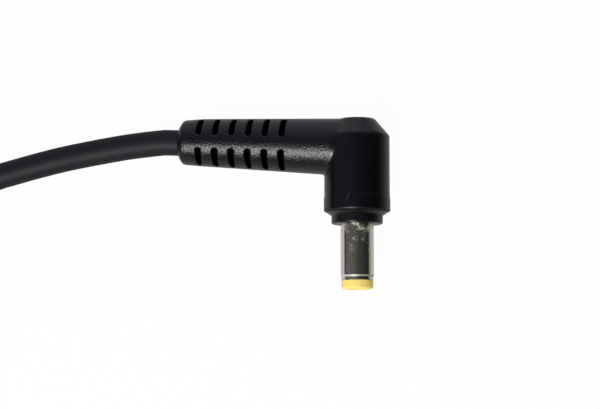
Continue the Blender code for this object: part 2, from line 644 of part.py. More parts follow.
def make_strap(finish):
    """A flat strap closed round the hank's waist."""
    reach = HANK_TURNS_PER_LAYER
    left = hank_point(HANK_TURNS_PER_LAYER - 0.5).y - LEAD_RADIUS - GAP
    right = hank_point(reach).y + LEAD_RADIUS + GAP
    bottom = STRAP_THICKNESS + TABLE_GAP
    top = hank_point(reach * HANK_CLIMBS).z + LEAD_RADIUS + GAP
    curve = bpy.data.curves.new("strap", "CURVE")
    curve.dimensions = "2D"
    curve.fill_mode = "BOTH"
    curve.extrude = STRAP_WIDTH / 2
    for grow in (0, STRAP_THICKNESS):
        radius = STRAP_ROUNDING + grow
        low = (left - grow + radius, bottom - grow + radius)
        high = (right + grow - radius, top + grow - radius)
        outline = arc((high[0], low[1]), radius, -90, 0, 5)
        outline += arc(high, radius, 0, 90, 5)
        outline += arc((low[0], high[1]), radius, 90, 180, 5)
        outline += arc(low, radius, 180, 270, 5)
        line = curve.splines.new("POLY")
        line.use_cyclic_u = True
        line.points.add(len(outline) - 1)
        for point, (y, z) in zip(line.points, outline, strict=True):
            point.co = (y, z, 0, 1)
    strap = solid_curve("hank_strap", curve, None, finish)
    strap.location = (HANK_FOLD_CENTRE[0] - HANK_RUN / 2, 0, 0)
    strap.rotation_euler = (math.pi / 2, 0, math.pi / 2)


def main():
    bpy.context.scene.collection.children.link(parts)
    bpy.context.scene.collection.children.link(cutters)
    finishes = make_finishes()
    plug = bpy.data.objects.new("plug_frame", None)
    plug.location = (AXIS_X, AXIS_Y, LIP_RADIUS)
    lay_down = Matrix.Rotation(-LEAN, 4, "Y") @ Matrix.Rotation(-math.pi / 2, 4, "X")
    plug.rotation_euler = lay_down.to_euler()
    cutters.objects.link(plug)
    handle = handle_frame(plug)
    make_overmould(plug, handle, finishes["overmould"])
    make_inner_mould(plug, handle, finishes["collar"])
    make_barrel(plug, finishes["nickel"])
    make_tip(plug, finishes["yellow"])
    make_contact(plug, finishes["brass"])
    make_terminals(plug, finishes)
    make_wiring(plug, handle, finishes)
    make_lead(handle, finishes)
    make_far_end(finishes)
    make_strap(finishes["strap"])


for leftover in list(bpy.data.objects):
    bpy.data.objects.remove(leftover)
main()
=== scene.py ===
"""Right-angle DC output plug of a laptop power adapter, moulded on its lead.

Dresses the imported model: the moulded plug, its barrel and yellow tip, the lead and its strapped hank.
Metres, +Z up. The plug lies on its side with its barrel towards -Y and its handle towards -X.
"""

import json
import math

import bmesh
import bpy
from bpy.props import FloatProperty, FloatVectorProperty, IntProperty, PointerProperty
from mathutils import Matrix, Vector

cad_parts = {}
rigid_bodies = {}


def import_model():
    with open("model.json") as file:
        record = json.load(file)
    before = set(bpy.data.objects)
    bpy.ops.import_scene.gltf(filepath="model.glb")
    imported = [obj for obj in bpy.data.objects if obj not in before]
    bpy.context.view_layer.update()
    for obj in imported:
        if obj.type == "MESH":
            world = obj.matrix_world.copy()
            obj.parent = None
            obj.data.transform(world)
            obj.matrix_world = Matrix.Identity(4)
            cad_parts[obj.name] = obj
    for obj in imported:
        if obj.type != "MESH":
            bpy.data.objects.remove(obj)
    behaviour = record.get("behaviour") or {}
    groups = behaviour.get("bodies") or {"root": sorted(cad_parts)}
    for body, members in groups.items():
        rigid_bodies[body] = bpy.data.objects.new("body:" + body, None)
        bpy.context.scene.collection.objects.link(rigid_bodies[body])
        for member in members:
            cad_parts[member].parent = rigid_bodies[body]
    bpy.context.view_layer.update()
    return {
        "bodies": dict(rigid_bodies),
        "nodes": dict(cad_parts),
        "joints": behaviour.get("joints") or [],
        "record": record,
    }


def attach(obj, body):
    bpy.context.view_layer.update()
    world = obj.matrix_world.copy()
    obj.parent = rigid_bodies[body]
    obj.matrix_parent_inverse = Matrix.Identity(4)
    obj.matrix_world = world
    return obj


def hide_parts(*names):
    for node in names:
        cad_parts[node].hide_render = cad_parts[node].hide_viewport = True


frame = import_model()

bl_info = {
    "name": "Laptop Adapter DC Plug",
    "version": (1, 0, 0),
    "blender": (4, 5, 0),
    "location": "View3D > Sidebar > DC Plug",
    "description": "Models a right-angle DC plug with its lead, and sets up a plain studio round it",
    "category": "Object",
}

MM = 0.001
GAP = 0.3 * MM  # between moulded pieces and what they hold
ROUND = 96  # segments round a turned piece
LONG_STRETCH = 0.6 * MM  # of a turned profile, which gets a support inside each end
SUPPORT_INSET = 0.1 * MM
PAST_ALL = 20 * MM  # below the end face, past all that a cutter cuts

# How the plug lies: an upright plug, barrel down, is turned onto its side and leans on its handle's end
HANDLE_TILT = math.radians(3.2)
HANDLE_ABOVE_END_FACE = 0.13 * MM  # the handle's top, at the plug's axis
HANDLE_END_CHAMFER = 0.95 * MM
HANDLE_RIM = 2.62 * MM  # radius left flat round the lead
LIP_SWELL = 0.08 * MM

# Details of the overmould
LIP_STARTS = 2.7 * MM  # its swell, from the body's mouth
LIP_FULL = 2.1 * MM
LIP_ROUNDING = 0.2 * MM
CORNER_BAND = 0.7 * MM  # relaxed on each side of the corner between body and handle
CORNER_TOP = 1.5 * MM  # below the end face
EVEN_FACE = 0.15 * MM  # size of the faces
HANDLE_WORN_OFF = 0.14 * MM  # of its end
# The chamfer that wear has left: how far back from the end and how far drawn in, in millimetres
HANDLE_WEAR = ((0.25, 0.78), (0.6, 0.3), (0.75, 0.2), (1.1, 0.12), (2.3, 0.07), (3.9, 0.0))
HANDLE_DROOP = 0.12 * MM  # of its end
HANDLE_DROOP_SPAN = 6 * MM  # that bends with it

# The slots, in the handle's frame: the distances up and down are from its axis
SLOT_FIRST = 4.0 * MM  # from the handle's end
SLOT_DEPTH = 5.0 * MM
SLOT_MIDDLE = 3.0 * MM  # of its depth
SLOT_CORE = 2.85 * MM  # radius left whole round the lead
UPPER_SLOT_FOOT = 0.81 * MM
UPPER_SLOT_SKIN = 0.42 * MM  # left above it
LOWER_SLOT_HEAD = 1.31 * MM
LOWER_SLOT_SKIN = 0.1 * MM  # left below it

# The inner mould, measured down from the end face and along the handle
STEM_RADIUS = 3.7 * MM
STEM_TOP = 2.0 * MM
ARM_RADIUS = 3.3 * MM
ARM_REACH = 10.5 * MM
ARM_BORE_REACH = 12 * MM
BORE_GAP = 0.05 * MM  # round the lead and the barrel
CHAMBER_RADIUS = 2.55 * MM  # room for the solder tabs
CHAMBER_TOP = 3.1 * MM
CHAMBER_FLOOR = 8.6 * MM
CHAMBER_BEVEL = 0.1 * MM
SHOULDER_GAP = 0.1 * MM  # under the body's mouth
SHOULDER_WIDTH = 0.85 * MM
SHOULDER_HEIGHT = 0.55 * MM
SHOULDER_FOOT = 0.02 * MM
COLLAR_ROUNDING = 0.28 * MM

# The barrel and the tip's sleeve
BARREL_TOP = 11 * MM  # below the end face
BARREL_WALL = 0.3 * MM
BARREL_STEP = 0.68 * MM  # from the barrel's end
STEP_RUN = 0.28 * MM
STEP_DEPTH = 0.09 * MM
BARREL_END_DEPTH = 0.1 * MM
SLEEVE_TOP = 11.3 * MM  # below the end face
SLEEVE_RADIUS = 2.15 * MM
SLEEVE_BORE = 1.55 * MM
TIP_GAP = 0.02 * MM  # under the barrel
TIP_SET_IN = 0.13 * MM  # from the barrel's radius
TIP_EDGE = 0.05 * MM
TIP_ROUNDING = 0.4 * MM
TIP_DISH = 0.1 * MM  # how far the rounding stops short of the end
TIP_BORE = 0.98 * MM
TIP_MOUTH_ROUNDING = 0.3 * MM
TIP_FLOOR = 0.3 * MM

# The lead in the handle
LEAD_HELD = 22.5 * MM
LEAD_SAG = 0.2 * MM  # how far it lies off the handle's axis at the handle's end
CHANNEL_GAP = 0.04 * MM  # round the lead in the overmould

# The lead's route over the table, in millimetres, and its hank
LEAD_ROUTE = [
    (-26.1, 10.22, 2.9), (-30.4, 9.67, 2.35), (-34.6, 8.97, 2.23),
    (-38.7, 8.17, 2.23), (-42.9, 7.17, 2.23), (-46.6, 6.2, 2.23),
    (-50.3, 5.15, 2.23), (-53.9, 3.55, 2.23), (-56.4, 1.8, 2.23),
]
ABOVE_TABLE = 0.03 * MM
HANK_RUN = 41.0 * MM  # between the centres of its two folds
HANK_CENTRE = (-99.5 * MM, 7.0 * MM)
HANK_FOLD = 3.02  # radius of the innermost fold, in lead diameters
HANK_CLEARANCE = 0.58 * MM  # between loops that lie beside or on each other
HANK_WAIST_IN = 2.0 * MM  # how far the strap draws the innermost runs in
HANK_WAIST_WIDENING = 0.2 * MM  # added to the step between loops at the waist
TURNS_PER_LAYER = 2
HANK_CLIMBS = 3  # one fewer than its layers
POINTS_PER_TURN = 56
HANK_FIRST_ANGLE = math.radians(-38)
HANK_LAST_TURN = 5.425
STRAP_WIDTH = 6.0 * MM
STRAP_THICKNESS = 0.8 * MM
STRAP_ROUNDING = 3.0 * MM
STRAP_EDGE = 0.25 * MM

# The stripped end, measured past the lead's cut end
END_SLEEVE_START = -2.0 * MM
END_SLEEVE_END = 9.0 * MM
END_SLEEVE_DIAMETER = 4.6 * MM
WIRE_END = 24.4 * MM
WIRE_DIAMETER = 1.8 * MM
WIRE_ASIDE = 1.15 * MM
WIRE_ABOVE_LOOP = 0.62 * MM  # its centre above the underside of the lead's own loop
TINNED_START = 24.3 * MM
TINNED_END = 29.7 * MM
TINNED_DIAMETER = 1.0 * MM

# A fine scratch on the body, from its far end to its near one, in millimetres
SCRATCH = ((11.65, 1.1), (10.95, -0.55))
SCRATCH_WIDTH = 0.035


def level_setting(name, about, value, **more):
    return FloatProperty(name=name, description=about, default=value, **more)


def length_setting(name, about, millimetres):
    return level_setting(name, about, millimetres * MM, unit="LENGTH", precision=5)


def angle_setting(name, about, degrees):
    return level_setting(name, about, math.radians(degrees), subtype="ANGLE")


def vector_setting(name, about, *values, subtype="COLOR"):
    return FloatVectorProperty(name=name, description=about, default=values, subtype=subtype)


class PlugSizes(bpy.types.PropertyGroup):
    """Sizes of the plug and its lead."""

    body_radius: length_setting("Body Radius", "Radius of the round body", 5.44)
    body_length: length_setting("Body Length", "From the end face to the lip", 15.48)
    end_face_radius: length_setting("End Face Radius", "Flat left by the end chamfer", 3.05)
    end_chamfer: length_setting("End Chamfer", "Length of the end chamfer", 2.85)
    handle_reach: length_setting("Handle Reach", "From the barrel's axis to the lead", 30.3)
    handle_root_radius: length_setting("Handle Root Radius", "At the barrel's axis", 4.87)
    handle_tip_radius: length_setting("Handle Tip Radius", "At the lead", 3.87)
    slot_rings: IntProperty(name="Slot Rings", description="Rings of strain-relief slots", default=6, min=0)
    slot_pitch: length_setting("Slot Pitch", "From one ring of slots to the next", 2.84)
    slot_width: length_setting("Slot Width", "Along the handle", 0.95)
    collar_radius: length_setting("Collar Radius", "Of the collar behind the barrel", 4.25)
    collar_length: length_setting("Collar Length", "From the lip to the collar's face", 2.05)
    barrel_radius: length_setting("Barrel Radius", "Outside radius of the barrel", 2.75)
    barrel_length: length_setting("Bare Barrel", "Barrel that shows past the collar", 9.27)
    tip_length: length_setting("Tip Length", "Of the plastic tip past the barrel", 1.6)
    lead_diameter: length_setting("Lead Diameter", "Outside diameter of the lead", 4.4)


class PlugColours(bpy.types.PropertyGroup):
    """Colours of the finishes."""

    overmould: vector_setting("Overmould", "Soft black moulding", 0.0013, 0.0014, 0.0019)
    collar: vector_setting("Collar", "Hard black plastic", 0.0030, 0.0030, 0.0036)
    plating: vector_setting("Plating", "Nickel plating of the barrel", 0.90, 0.83, 0.77)
    tip: vector_setting("Tip", "Warm yellow plastic", 0.98, 0.72, 0.165)
    jacket: vector_setting("Jacket", "The lead's jacket", 0.0072, 0.0078, 0.0110)
    strap: vector_setting("Strap", "Woven strap round the hank", 0.02, 0.02, 0.022)


class PlugStudio(bpy.types.PropertyGroup):
    """Camera, light and table."""

    distance: length_setting("Distance", "Of the camera", 290)
    pitch: angle_setting("Pitch", "Camera's tilt towards the tip", 6.0)
    yaw: angle_setting("Yaw", "Camera's turn away from the lead", 6.4)
    aim: vector_setting("Aim", "The picture's middle", 0.00284, -0.00028, 0.00504, subtype="TRANSLATION")
    lens: level_setting("Lens", "Focal length in millimetres", 104.4)
    key_distance: length_setting("Key Distance", "Of the main light", 600)
    key_tilt: angle_setting("Key Tilt", "Main light's lean towards the tip", 36)
    key_side: angle_setting("Key Side", "Main light's lean over the lead", 17)
    key_spread: angle_setting("Key Spread", "Half the angle the main light fills", 10)
    key_level: level_setting("Key Level", "1 lights white to white by itself", 0.9)
    gloss_level: level_setting("Gloss Level", "Of the white table in gloss", 0.53)
    room_level: level_setting("Room Level", "Of the dark room in gloss, overhead", 0.02)
    room_left: level_setting("Room Left", "How much lighter it is over the lead", 0.17)
    room_far: level_setting("Room Far", "How much lighter it is behind the plug", 0.6)
    room_near: level_setting("Room Near", "How much lighter it is before the tip", 0.03)


# Shader maths


class Wire:
    """A socket of a material's nodes. Arithmetic on it adds Math nodes."""

    def __init__(self, shading, socket):
        self.shading = shading
        self.socket = socket

    def maths(self, operation, *values):
        return self.shading.add("ShaderNodeMath", {"operation": operation}, dict(enumerate(values)))

    def __add__(self, other):
        return self.maths("ADD", self, other)

    def __sub__(self, other):
        return self.maths("SUBTRACT", self, other)

    def __rsub__(self, other):
        return self.maths("SUBTRACT", other, self)

    def __mul__(self, other):
        return self.maths("MULTIPLY", self, other)

    def __truediv__(self, other):
        return self.maths("DIVIDE", self, other)

    def __abs__(self):
        return self.maths("ABSOLUTE", self)

    def or_more(self, other):
        return self.maths("MAXIMUM", self, other)

    __radd__ = __add__
    __rmul__ = __mul__


class Shading:
    """Builds one material's nodes."""

    def __init__(self, name):
        self.material = bpy.data.materials.new(name)
        self.material.use_nodes = True
        self.tree = self.material.node_tree
        self.shader = self.tree.nodes["Principled BSDF"]
        self.place = self.add("ShaderNodeTexCoord", output="Object")

    @classmethod
    def for_world(cls, world):
        """The same for a world, where the place is a direction."""
        made = cls.__new__(cls)
        made.tree = world.node_tree
        made.shader = made.tree.nodes["Background"]
        made.place = made.add("ShaderNodeTexCoord", output="Generated")
        return made

    def add(self, kind, settings=None, sockets=None, output=0):
        """A node with its settings made first, then its sockets given values or links."""
        node = self.tree.nodes.new(kind)
        for name, value in (settings or {}).items():
            if name == "stops":
                self.set_stops(node.color_ramp, value)
            else:
                setattr(node, name, value)
        self.feed(node, sockets or {})
        return Wire(self, node.outputs[output])

    def set_stops(self, ramp, stops):
        for i, (position, level) in enumerate(stops):
            stop = ramp.elements[i] if i < 2 else ramp.elements.new(position)
            stop.position = position
            stop.color = (level, level, level, 1)

    def feed(self, node, sockets):
        """Links sockets or sets their values. A colour is given without its alpha."""
        for name, value in sockets.items():
            socket = node.inputs[name]
            if isinstance(value, Wire):
                self.tree.links.new(value.socket, socket)
            elif socket.type == "RGBA":
                socket.default_value = (*value, 1)
            else:
                socket.default_value = value

    def ray(self, kind):
        """1 for one kind of ray, and 0 for others."""
        return self.add("ShaderNodeLightPath", output=f"Is {kind} Ray")

    def noise(self, scale, detail=3.0, roughness=0.5, place=None):
        """Noise whose features are about 1/scale millimetres across."""
        place = place or self.place
        sockets = {"Vector": place, "Scale": scale / MM, "Detail": detail, "Roughness": roughness}
        return self.add("ShaderNodeTexNoise", None, sockets)

    def bands(self, direction, scale, distortion=0.0):
        """Soft stripes, about scale of them to a millimetre."""
        settings = {"wave_type": "BANDS", "bands_direction": direction}
        sockets = {"Vector": self.place, "Scale": scale / MM, "Distortion": distortion}
        return self.add("ShaderNodeTexWave", settings, sockets)

    def ramp(self, value, *stops):
        return self.add("ShaderNodeValToRGB", {"stops": stops}, {0: value})

    def rise(self, value, start, end, top=1.0):
        """0 before the start and the top value past the end, which may be the lower of the two."""
        return self.ramp((value - start) / (end - start), (0.0, 0.0), (1.0, top))

    def along(self, axis):
        """The object coordinate along one axis, in millimetres."""
        return self.add("ShaderNodeSeparateXYZ", None, {0: self.place}, output=axis) / MM

    def line(self, far, near, width):
        """1 on a fine line seen from above, from its far end to its near one in millimetres, and 0 off it."""
        slope = (near[0] - far[0]) / (near[1] - far[1])
        beside = abs(self.along(0) - far[0] - (self.along(1) - far[1]) * slope)
        share = (self.along(1) - near[1]) / (far[1] - near[1])
        within = self.ramp(share, (0.0, 0.0), (0.2, 1.0), (0.8, 1.0), (1.0, 0.0))
        return self.rise(beside, 1.6 * width, 0.8 * width) * within

    def cavity(self, frame, radius, taper):
        """1 deeper than 0.45 mm inside a cone round the frame's +Z, whose radius is given at its origin."""
        axis = frame.to_3x3() @ Vector((0, 0, 1))
        from_origin = self.vector("SUBTRACT", self.place, frame.translation)
        along = self.vector("DOT_PRODUCT", from_origin, axis, output="Value")
        across = self.vector("CROSS_PRODUCT", from_origin, axis)
        depth = radius - along * taper - self.vector("LENGTH", across, output="Value")
        return self.rise(depth / MM, 0.2, 0.45)

    def vector(self, operation, *values, output=0):
        return self.add("ShaderNodeVectorMath", {"operation": operation}, dict(enumerate(values)), output)

    def colours(self, factor, low, high):
        """Mixes two colours."""
        return self.add("ShaderNodeMix", {"data_type": "RGBA"}, {0: factor, 6: low, 7: high}, output=2)

    def bump(self, height, depth):
        """Height, from 0 to 1, raised by a depth in millimetres."""
        return self.add("ShaderNodeBump", None, {"Height": height, "Distance": depth * MM, "Strength": 1.0})

    def finish(self, **sockets):
        """Feeds the surface's sockets, whose names are given in small letters."""
        for name, value in sockets.items():
            self.feed(self.shader, {name.replace("_", " ").title().replace("Ior", "IOR"): value})
        return self.material


# The finishes. Places in them are in millimetres, as the plug lies on the table.


def moulded_pvc(sizes, colour):
    """Soft plastic, satin on the body, grained on the handle, and dull and painted dark as shade deep in the
    slots, with a few marks.
    """
    s = Shading("moulded_pvc")
    x, y, z = (s.along(axis) for axis in range(3))
    fine = s.noise(3.7, 2.0, 0.6)
    broad = s.noise(0.35, 2.0)
    on_handle = s.rise(x, 8.8, 8.2)
    on_chamfer = s.rise(y, 10.8, 11.4, 0.5)
    grain = fine * on_handle.or_more(on_chamfer)
    before_end = s.rise(x, -16.2, -15.6)
    inside = s.cavity(handle_place(sizes), sizes.handle_root_radius, handle_taper(sizes))
    # Deep in the handle's slots, where shade is painted below
    slot_shade = inside * on_handle * before_end
    marks = s.rise(s.noise(1.9, 1.0, 0.4), 0.765, 0.80)
    scratch = s.line(*SCRATCH, SCRATCH_WIDTH) * s.rise(z, 7, 8)
    lip_edge = s.rise(y, -1.3, -1.5)
    rough = 0.22 + 0.05 * broad + (0.24 * fine - 0.07) * on_handle + 0.25 * lip_edge
    rough = rough + (0.9 - rough) * slot_shade
    tint = s.colours(marks, colour, (0.04, 0.04, 0.044))
    tint = s.colours(scratch, tint, (0.055, 0.055, 0.06))
    # Painted shade in the slots: a metal as black as this reflects nothing, which keeps them dark.
    tint = s.colours(slot_shade, tint, (0.0005, 0.0005, 0.0006))
    s.finish(base_color=tint, metallic=0.9 * slot_shade, roughness=rough)
    return s.finish(specular_ior_level=0.43, normal=s.bump(grain, 0.065))


def hard_plastic(colour):
    """The collar's harder, smoother plastic, a little scuffed."""
    s = Shading("hard_plastic")
    scuff = s.noise(2.4, 4.0, 0.6)
    rough = 0.20 + 0.2 * scuff
    return s.finish(base_color=colour, roughness=rough, specular_ior_level=0.42, normal=s.bump(scuff, 0.02))


def worn_plating(sizes, colour):
    """Bright plating, stained brown on one side and green on the other, with blooms near the collar, and a
    painted highlight on the step that dims towards the right.
    """
    s = Shading("worn_plating")
    axis = plug_place(sizes).translation / MM
    radius = sizes.barrel_radius / MM
    across = (s.along(0) - axis.x) / (2 * radius) + 0.5
    past_collar = axis.y - s.along(1) - (sizes.body_length + sizes.collar_length) / MM
    past_step = past_collar - (sizes.barrel_length - BARREL_STEP) / MM
    near_collar = s.ramp(past_collar * 0.1, (0.0, 1.0), (0.2, 0.85), (0.52, 0.0))
    step = s.rise(abs(past_step - 0.02), 0.16, 0.12)
    streaks = s.noise(0.9, 3.0, 0.6, s.vector("MULTIPLY", s.place, (1.0, 0.12, 1.0)))
    fine = s.noise(3.6, 4.0, 0.65)
    patches = s.noise(0.9, 1.0)
    blooms = s.rise(0.5 * fine + 0.5 * patches + 0.06 * near_collar, 0.57, 0.66) * near_collar
    middle = s.ramp(across, (0.13, 0.0), (0.19, 1.0), (0.84, 1.0), (0.90, 0.0))
    stain = s.colours(s.rise(across, 0.35, 0.60), (0.55, 0.44, 0.28), (0.40, 0.47, 0.25))
    tint = s.colours(middle * s.ramp(streaks, (0.35, 0.3), (0.62, 1.0)), colour, stain)
    tint = s.colours(middle * s.rise(fine, 0.50, 0.60, 0.6), tint, (0.19, 0.18, 0.12))
    tint = s.colours(blooms, tint, (0.60, 0.58, 0.47))
    # Painted highlight on the step ring, lighter on the left and dimmer towards the right
    pale = s.colours(s.rise(across, 0.5, 0.65), (0.62, 0.62, 0.54), (0.34, 0.36, 0.29))
    tint = s.colours(step, tint, pale)
    rough = 0.04 + 0.08 * streaks + 0.22 * fine + 0.4 * blooms + 0.3 * step
    metallic = 1.0 - 0.6 * blooms - 0.8 * step
    return s.finish(base_color=tint, metallic=metallic, roughness=rough, normal=s.bump(fine, 0.002))


def yellow_plastic(colour):
    """The tip's warm plastic, a little worn pale."""
    s = Shading("yellow_plastic")
    wear = s.noise(1.2, 3.0, 0.6)
    pale = s.colours(s.rise(wear, 0.45, 0.75, 0.6), colour, (0.97, 0.82, 0.42))
    return s.finish(base_color=pale, roughness=0.36 + 0.12 * wear, normal=s.bump(wear, 0.012))


def lead_jacket(colour):
    """Extruded jacket: satin black with a faint blue cast and very slight waves."""
    s = Shading("lead_jacket")
    waves = s.noise(0.22, 2.0)
    fine = s.noise(7.0, 2.0, 0.6)
    rough = 0.53 + 0.06 * waves + 0.05 * fine
    tint = s.colours(waves, colour, (0.0056, 0.0060, 0.0085))
    height = 0.8 * waves + 0.2 * fine
    return s.finish(base_color=tint, roughness=rough, specular_ior_level=0.28, normal=s.bump(height, 0.03))


def woven_strap(colour):
    """Loop pile on a woven band."""
    s = Shading("woven_strap")
    pile = s.noise(3.2, 3.0, 0.7)
    weave = s.bands("Z", 1.6)
    tint = s.colours(pile, colour, (0.055, 0.055, 0.06))
    normal = s.bump(0.7 * pile + 0.3 * weave, 0.12)
    return s.finish(base_color=tint, roughness=0.9, sheen_weight=0.35, normal=normal)


def plain_metal(name, colour, dull, roughness, scale=3.0, depth=0.01):
    """A metal that tarnishes unevenly."""
    s = Shading(name)
    patch = s.noise(scale, 3.0, 0.6)
    tint = s.colours(patch, colour, dull)
    rough = roughness + 0.15 * patch
    return s.finish(base_color=tint, metallic=1.0, roughness=rough, normal=s.bump(patch, depth))


def plain_plastic(name, colour, shade, roughness, scale=2.0, depth=0.01):
    """A plastic with a slight unevenness of tone and gloss."""
    s = Shading(name)
    patch = s.noise(scale, 3.0, 0.55)
    tint = s.colours(patch, colour, shade)
    return s.finish(base_color=tint, roughness=roughness + 0.12 * patch, normal=s.bump(patch, depth))


def tinned_strands(name, colour, dull):
    """Twisted strands that solder has run into."""
    s = Shading(name)
    lay = s.bands("DIAGONAL", 0.9, 0.6)
    tint = s.colours(lay, dull, colour)
    return s.finish(base_color=tint, metallic=1.0, roughness=0.25 + 0.2 * lay, normal=s.bump(lay, 0.05))


# How the plug lies


def handle_taper(sizes):
    return (sizes.handle_root_radius - sizes.handle_tip_radius) / sizes.handle_reach


def handle_radius(sizes, along):
    return sizes.handle_root_radius - handle_taper(sizes) * along


def handle_drop(sizes):
    return sizes.handle_root_radius - HANDLE_ABOVE_END_FACE


def barrel_end(sizes):
    """Height of the barrel's end in the upright plug, whose end face is at 0."""
    return -sizes.body_length - sizes.collar_length - sizes.barrel_length


def plug_place(sizes):
    """From the upright plug to the plug on the table, centred, with its lip and handle touching down."""
    shoulder = sizes.handle_reach - HANDLE_END_CHAMFER
    shoulder_radius = handle_radius(sizes, shoulder)
    lip = sizes.body_radius + LIP_SWELL
    lean = math.asin((lip - shoulder_radius) / shoulder)
    span = sizes.handle_reach * math.cos(HANDLE_TILT) + HANDLE_RIM * math.sin(HANDLE_TILT)
    rise = shoulder * math.sin(HANDLE_TILT) + shoulder_radius - handle_drop(sizes)
    length = sizes.tip_length - barrel_end(sizes)
    at = Vector(((span * math.cos(lean) - lip) / 2, (length - rise) / 2, lip))
    return Matrix.Translation(at) @ Matrix.Rotation(-lean, 4, "Y") @ Matrix.Rotation(-math.pi / 2, 4, "X")


def handle_in_plug(sizes):
    """From the handle's frame, +Z out along its axis to the lead, to the upright plug's."""
    drop = Matrix.Translation((0, 0, -handle_drop(sizes)))
    return drop @ Matrix.Rotation(HANDLE_TILT - math.pi / 2, 4, "Y")


def handle_place(sizes):
    return plug_place(sizes) @ handle_in_plug(sizes)


def lead_in_handle(sizes):
    """From a straight lead's frame to the handle's: it sags from its inner end on."""
    inner_end = Matrix.Translation((0, 0, sizes.handle_reach - LEAD_HELD))
    return inner_end @ Matrix.Rotation(-LEAD_SAG / LEAD_HELD, 4, "Y") @ inner_end.inverted()


# Modelling


def pick(piece):
    """Makes one object the only one selected, and active."""
    nothing_picked()
    piece.select_set(True)
    bpy.context.view_layer.objects.active = piece


def nothing_picked():
    for other in bpy.context.view_layer.objects:
        other.select_set(False)


def pick_parts(piece, parts, wanted):
    """Opens the piece in edit mode with only those verts, edges or faces selected that pass the test."""
    pick(piece)
    bpy.ops.object.mode_set(mode="EDIT")
    bpy.ops.mesh.select_all(action="DESELECT")
    form = bmesh.from_edit_mesh(piece.data)
    for part in getattr(form, parts):
        part.select_set(wanted(part))
    bmesh.update_edit_mesh(piece.data)


def modify(piece, kind, **settings):
    """Adds a modifier and applies it."""
    modifier = piece.modifiers.new(kind.lower(), kind)
    for name, value in settings.items():
        setattr(modifier, name, value)
    pick(piece)
    bpy.ops.object.modifier_apply(modifier=modifier.name)


def supported(stations):
    """The stations, with one more just inside each end of a long stretch, to keep its shading straight."""
    result = [stations[0]]
    for start, end in zip(stations, stations[1:]):
        length = math.dist(start, end)
        if length > LONG_STRETCH:
            share = SUPPORT_INSET / length
            for s in (share, 1 - share):
                result.append((start[0] + (end[0] - start[0]) * s, start[1] + (end[1] - start[1]) * s))
        result.append(end)
    return result


def lathe(name, stations, closed=False, segments=ROUND):
    """A turned form round +Z: a circle extruded from station to station, each a radius and a height.

    A closed form is a ring, bridged from its last station to its first. Any other is a disc, extruded.
    """
    stations = supported(stations)
    radius, height = stations[0]
    nothing_picked()
    fill = "NOTHING" if closed else "NGON"
    first = (0, 0, height)
    bpy.ops.mesh.primitive_circle_add(vertices=segments, radius=radius, fill_type=fill, location=first)
    piece = bpy.context.object
    piece.name = name
    bpy.ops.object.transform_apply(location=True, rotation=True, scale=True)
    bpy.ops.object.mode_set(mode="EDIT")
    bpy.ops.mesh.select_all(action="SELECT")
    for next_radius, next_height in stations[1:]:
        bpy.ops.mesh.extrude_region_move(TRANSFORM_OT_translate={"value": (0, 0, next_height - height)})
        scale = next_radius / radius
        bpy.ops.transform.resize(value=(scale, scale, 1))
        radius, height = next_radius, next_height
    if closed:
        bpy.ops.mesh.select_all(action="DESELECT")
        bpy.ops.mesh.select_non_manifold()
        bpy.ops.mesh.bridge_edge_loops()
    bpy.ops.mesh.select_all(action="SELECT")
    bpy.ops.mesh.normals_make_consistent(inside=False)
    bpy.ops.object.mode_set(mode="OBJECT")
    return piece


def rod(name, radius, start, end, segments=64):
    """A plain round cutter or core along +Z."""
    return lathe(name, [(radius, start), (radius, end)], segments=segments)


def rounded(radius, height, rounding, start, end, steps=4):
    """Stations round a profile's corner, on an arc whose angles are in degrees."""
    middle = math.radians((start + end) / 2)
    radius -= math.copysign(rounding, math.cos(middle))
    height -= math.copysign(rounding, math.sin(middle))
    angles = [math.radians(start + (end - start) * i / steps) for i in range(steps + 1)]
    return [(radius + rounding * math.cos(a), height + rounding * math.sin(a)) for a in angles]


def settle(piece, matrix):
    """Puts the piece's place and turn in its mesh."""
    pick(piece)
    piece.matrix_world = matrix
    bpy.ops.object.transform_apply(location=True, rotation=True, scale=True)


def combine(piece, other, operation):
    """Joins another closed form to the piece, or cuts it away, and removes it."""
    modify(piece, "BOOLEAN", operation=operation, object=other, solver="EXACT")
    bpy.data.objects.remove(other)


def smooth(piece, angle=35):
    pick(piece)
    bpy.ops.object.shade_smooth_by_angle(angle=math.radians(angle))


def stadium(width, length, depth):
    """A prism along Z with round ends: a cylinder whose +Y half is moved out."""
    nothing_picked()
    bpy.ops.mesh.primitive_cylinder_add(vertices=24, radius=width / 2, depth=depth)
    piece = bpy.context.object
    pick_parts(piece, "verts", lambda vertex: vertex.co.y > 1e-6)
    bpy.ops.transform.translate(value=(0, length - width, 0))
    bpy.ops.mesh.select_all(action="SELECT")
    bpy.ops.transform.translate(value=(0, (width - length) / 2, 0))
    bpy.ops.object.mode_set(mode="OBJECT")
    return piece


def dress(piece, material, slot, *nodes):
    """Gives the piece its material, rides it on the body, and hides the nodes that it stands for. The slot is
    not used.
    """
    piece.data.materials.clear()
    piece.data.materials.append(material)
    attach(piece, "root")
    if nodes:
        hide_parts(*nodes)


def cable(name, points, diameter, ends=1.0, resolution=6):
    """A round cable along the points, with its ends closed and drawn in to a share of its diameter."""
    curve = bpy.data.curves.new(name, "CURVE")
    curve.dimensions = "3D"
    curve.bevel_depth = diameter / 2
    curve.bevel_resolution = resolution
    curve.use_fill_caps = True
    line = curve.splines.new("POLY")
    line.points.add(len(points) - 1)
    for point, at in zip(line.points, points, strict=True):
        point.co = (*at, 1)
    line.points[0].radius = line.points[-1].radius = ends
    line.use_smooth = True
    piece = bpy.data.objects.new(name, curve)
    bpy.context.scene.collection.objects.link(piece)
    return piece


# The lead's line


def ease(share):
    return (1 - math.cos(math.pi * min(max(share, 0), 1))) / 2


def drawn_in(x):
    """1 under the strap, falling to 0 where a fold begins; x is measured from the waist."""
    return ease((HANK_RUN / 2 - abs(x)) / (HANK_RUN / 2 - STRAP_WIDTH / 2))


